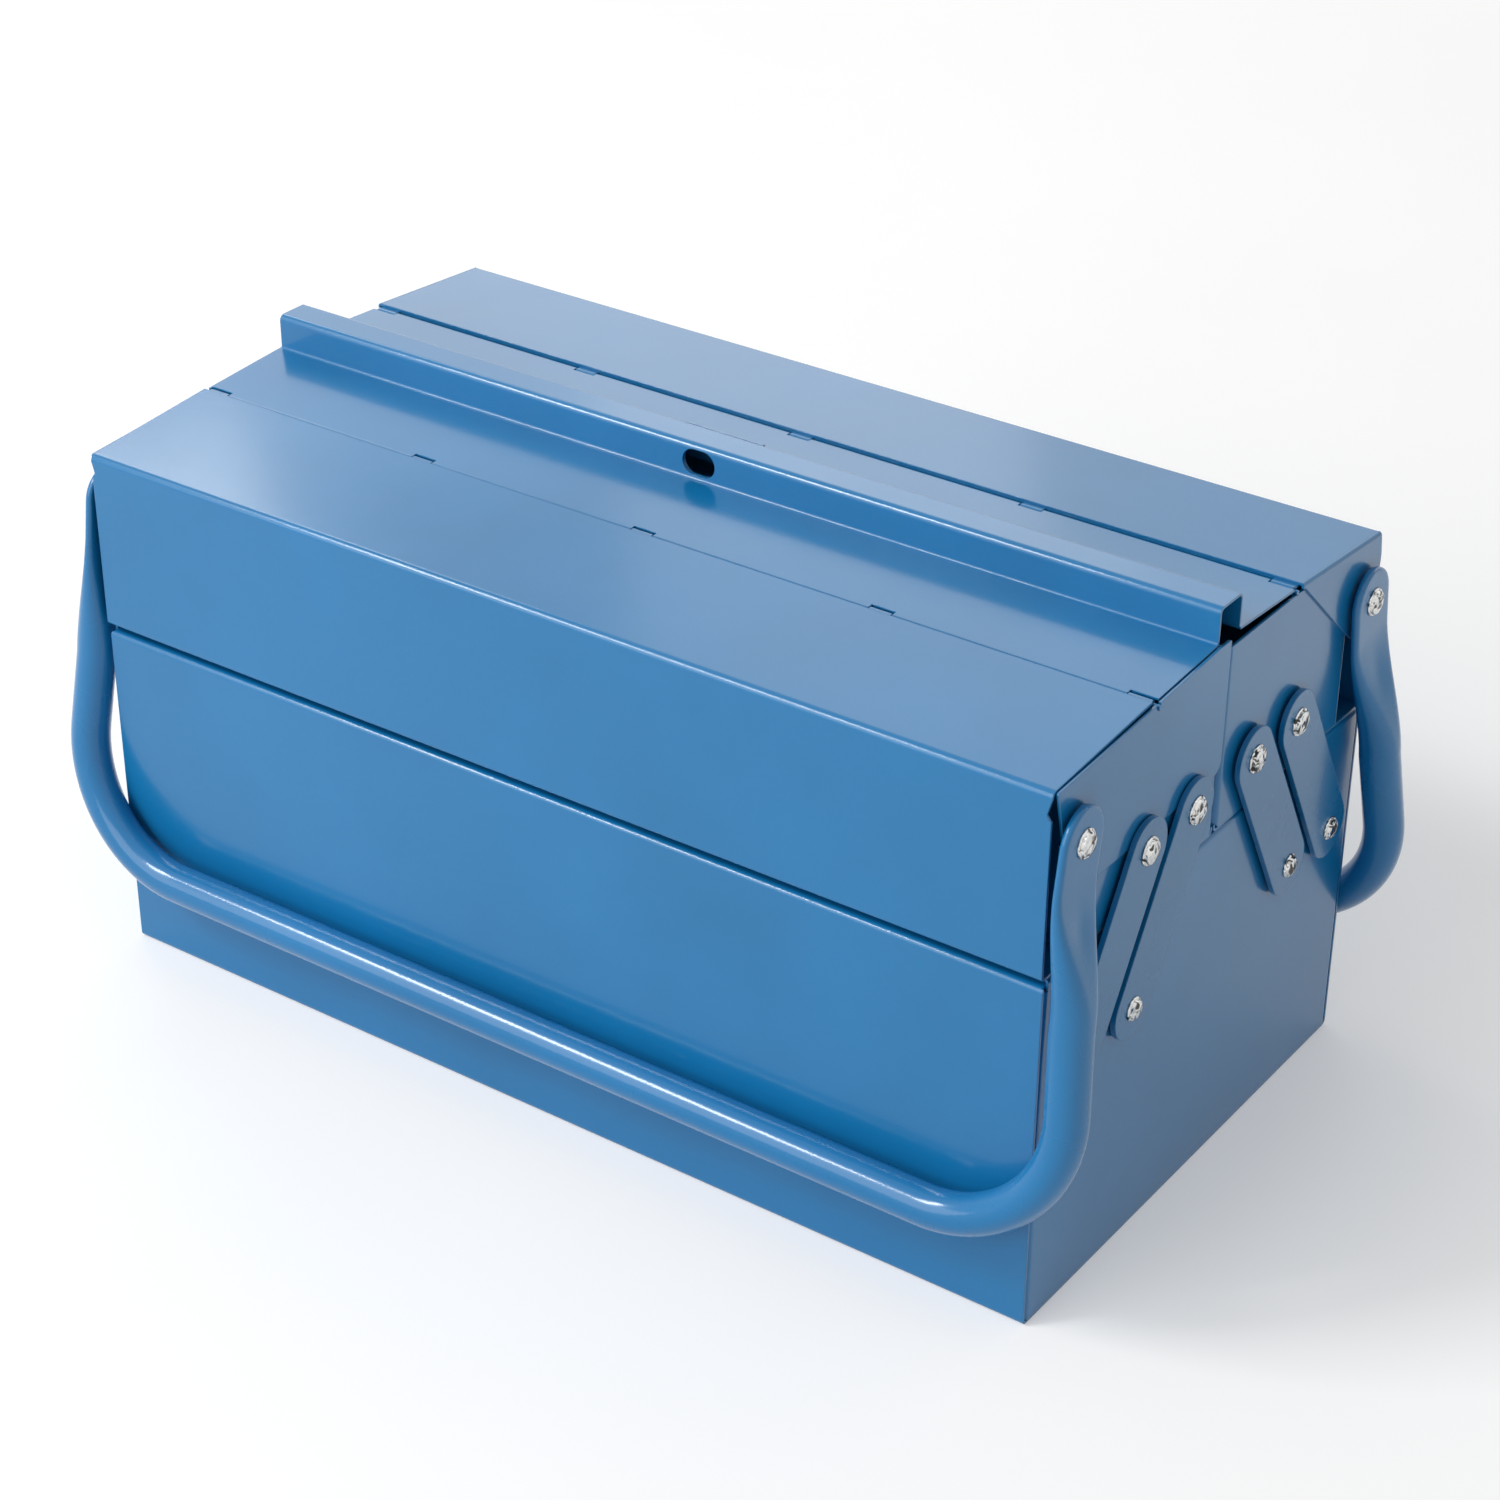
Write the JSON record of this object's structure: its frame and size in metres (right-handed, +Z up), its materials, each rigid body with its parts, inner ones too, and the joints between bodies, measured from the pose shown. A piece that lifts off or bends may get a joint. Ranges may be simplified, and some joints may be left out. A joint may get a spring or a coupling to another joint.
{
  "type": "cantilever toolbox",
  "caption": "Sheet steel cantilever toolbox: a deep base, parting trays on swinging arms, hinged lids with a ridge for a padlock, and tube carrying handles.",
  "frame": {"origin": "on the floor under the middle of the base", "axes": "+X along the box to its right end, -Y to the front, +Z up"},
  "size_m": [0.4446, 0.253, 0.2265],
  "materials": {
    "body_paint": "glossy blue enamel on folded sheet",
    "lid_paint": "glossy blue enamel on folded sheet",
    "arm_paint": "glossy blue enamel on flat bar",
    "handle_paint": "glossy blue enamel on tube",
    "rivet_plating": "bright plating, slightly dented by closing",
    "plain_steel": "plain rings"
  },
  "bodies": {
    "base": {"base_shell": "body_paint", "base_end_left": "body_paint", "base_end_right": "body_paint", "base_spacers": "plain_steel", "base_rivets": "rivet_plating"},
    "front_tray": {"front_tray_shell": "body_paint", "front_tray_end_left": "body_paint", "front_tray_end_right": "body_paint", "front_end_plate_left": "body_paint", "front_end_plate_right": "body_paint", "front_hinge_leaf": "lid_paint", "front_hinge_pin": "lid_paint", "front_tray_spacers": "plain_steel", "front_tray_rivets": "rivet_plating", "front_handle_spacers": "plain_steel", "front_handle_rivets": "rivet_plating"},
    "rear_tray": {"rear_tray_shell": "body_paint", "rear_tray_end_left": "body_paint", "rear_tray_end_right": "body_paint", "rear_gusset_left": "body_paint", "rear_gusset_right": "body_paint", "rear_hinge_leaf": "lid_paint", "rear_hinge_pin": "lid_paint", "rear_tray_spacers": "plain_steel", "rear_tray_rivets": "rivet_plating", "rear_handle_spacers": "plain_steel", "rear_handle_rivets": "rivet_plating"},
    "front_lid": {"front_lid": "lid_paint", "padlock_plate": "lid_paint"},
    "rear_lid": {"rear_lid": "lid_paint", "padlock_tab": "lid_paint"},
    "front_handle": {"front_handle": "handle_paint"},
    "rear_handle": {"rear_handle": "handle_paint"},
    "front_outer_arms": {"front_outer_arm_left": "arm_paint", "front_outer_arm_right": "arm_paint"},
    "front_inner_arms": {"front_inner_arm_left": "arm_paint", "front_inner_arm_right": "arm_paint"},
    "rear_outer_arms": {"rear_outer_arm_left": "arm_paint", "rear_outer_arm_right": "arm_paint"},
    "rear_inner_arms": {"rear_inner_arm_left": "arm_paint", "rear_inner_arm_right": "arm_paint"}
  },
  "joints": [
    {"name": "front_outer_arm_swing", "type": "hinge", "parent": "base", "child": "front_outer_arms", "pos_m": [0, -0.0855, 0.0995], "axis": [1, 0, 0], "range_deg": [0, 59.4]},
    {"name": "front_inner_arm_swing", "type": "hinge", "parent": "base", "child": "front_inner_arms", "pos_m": [0, -0.0545, 0.0995], "axis": [1, 0, 0], "range_deg": [0, 59.4]},
    {"name": "front_tray_level", "type": "hinge", "parent": "front_outer_arms", "child": "front_tray", "pos_m": [0, -0.0515, 0.159], "axis": [-1, 0, 0], "range_deg": [0, 59.4]},
    {"name": "front_lid_hinge", "type": "hinge", "parent": "front_tray", "child": "front_lid", "pos_m": [0, -0.0476, 0.2092], "axis": [1, 0, 0], "range_deg": [0, 95]},
    {"name": "front_handle_pivot", "type": "hinge", "parent": "front_tray", "child": "front_handle", "pos_m": [0, -0.098, 0.186], "axis": [-1, 0, 0], "range_deg": [0, 209.5]},
    {"name": "rear_outer_arm_swing", "type": "hinge", "parent": "base", "child": "rear_outer_arms", "pos_m": [0, 0.0855, 0.0995], "axis": [-1, 0, 0], "range_deg": [0, 59.4]},
    {"name": "rear_inner_arm_swing", "type": "hinge", "parent": "base", "child": "rear_inner_arms", "pos_m": [0, 0.0545, 0.0995], "axis": [-1, 0, 0], "range_deg": [0, 59.4]},
    {"name": "rear_tray_level", "type": "hinge", "parent": "rear_outer_arms", "child": "rear_tray", "pos_m": [0, 0.0515, 0.159], "axis": [1, 0, 0], "range_deg": [0, 59.4]},
    {"name": "rear_lid_hinge", "type": "hinge", "parent": "rear_tray", "child": "rear_lid", "pos_m": [0, 0.0476, 0.2092], "axis": [-1, 0, 0], "range_deg": [0, 95]},
    {"name": "rear_handle_pivot", "type": "hinge", "parent": "rear_tray", "child": "rear_handle", "pos_m": [0, 0.098, 0.186], "axis": [1, 0, 0], "range_deg": [0, 209.5]}
  ],
  "couplings": [
    {"joint": "front_inner_arm_swing", "follows": "front_outer_arm_swing", "ratio": 1},
    {"joint": "front_tray_level", "follows": "front_outer_arm_swing", "ratio": 1},
    {"joint": "rear_inner_arm_swing", "follows": "rear_outer_arm_swing", "ratio": 1},
    {"joint": "rear_tray_level", "follows": "rear_outer_arm_swing", "ratio": 1}
  ]
}
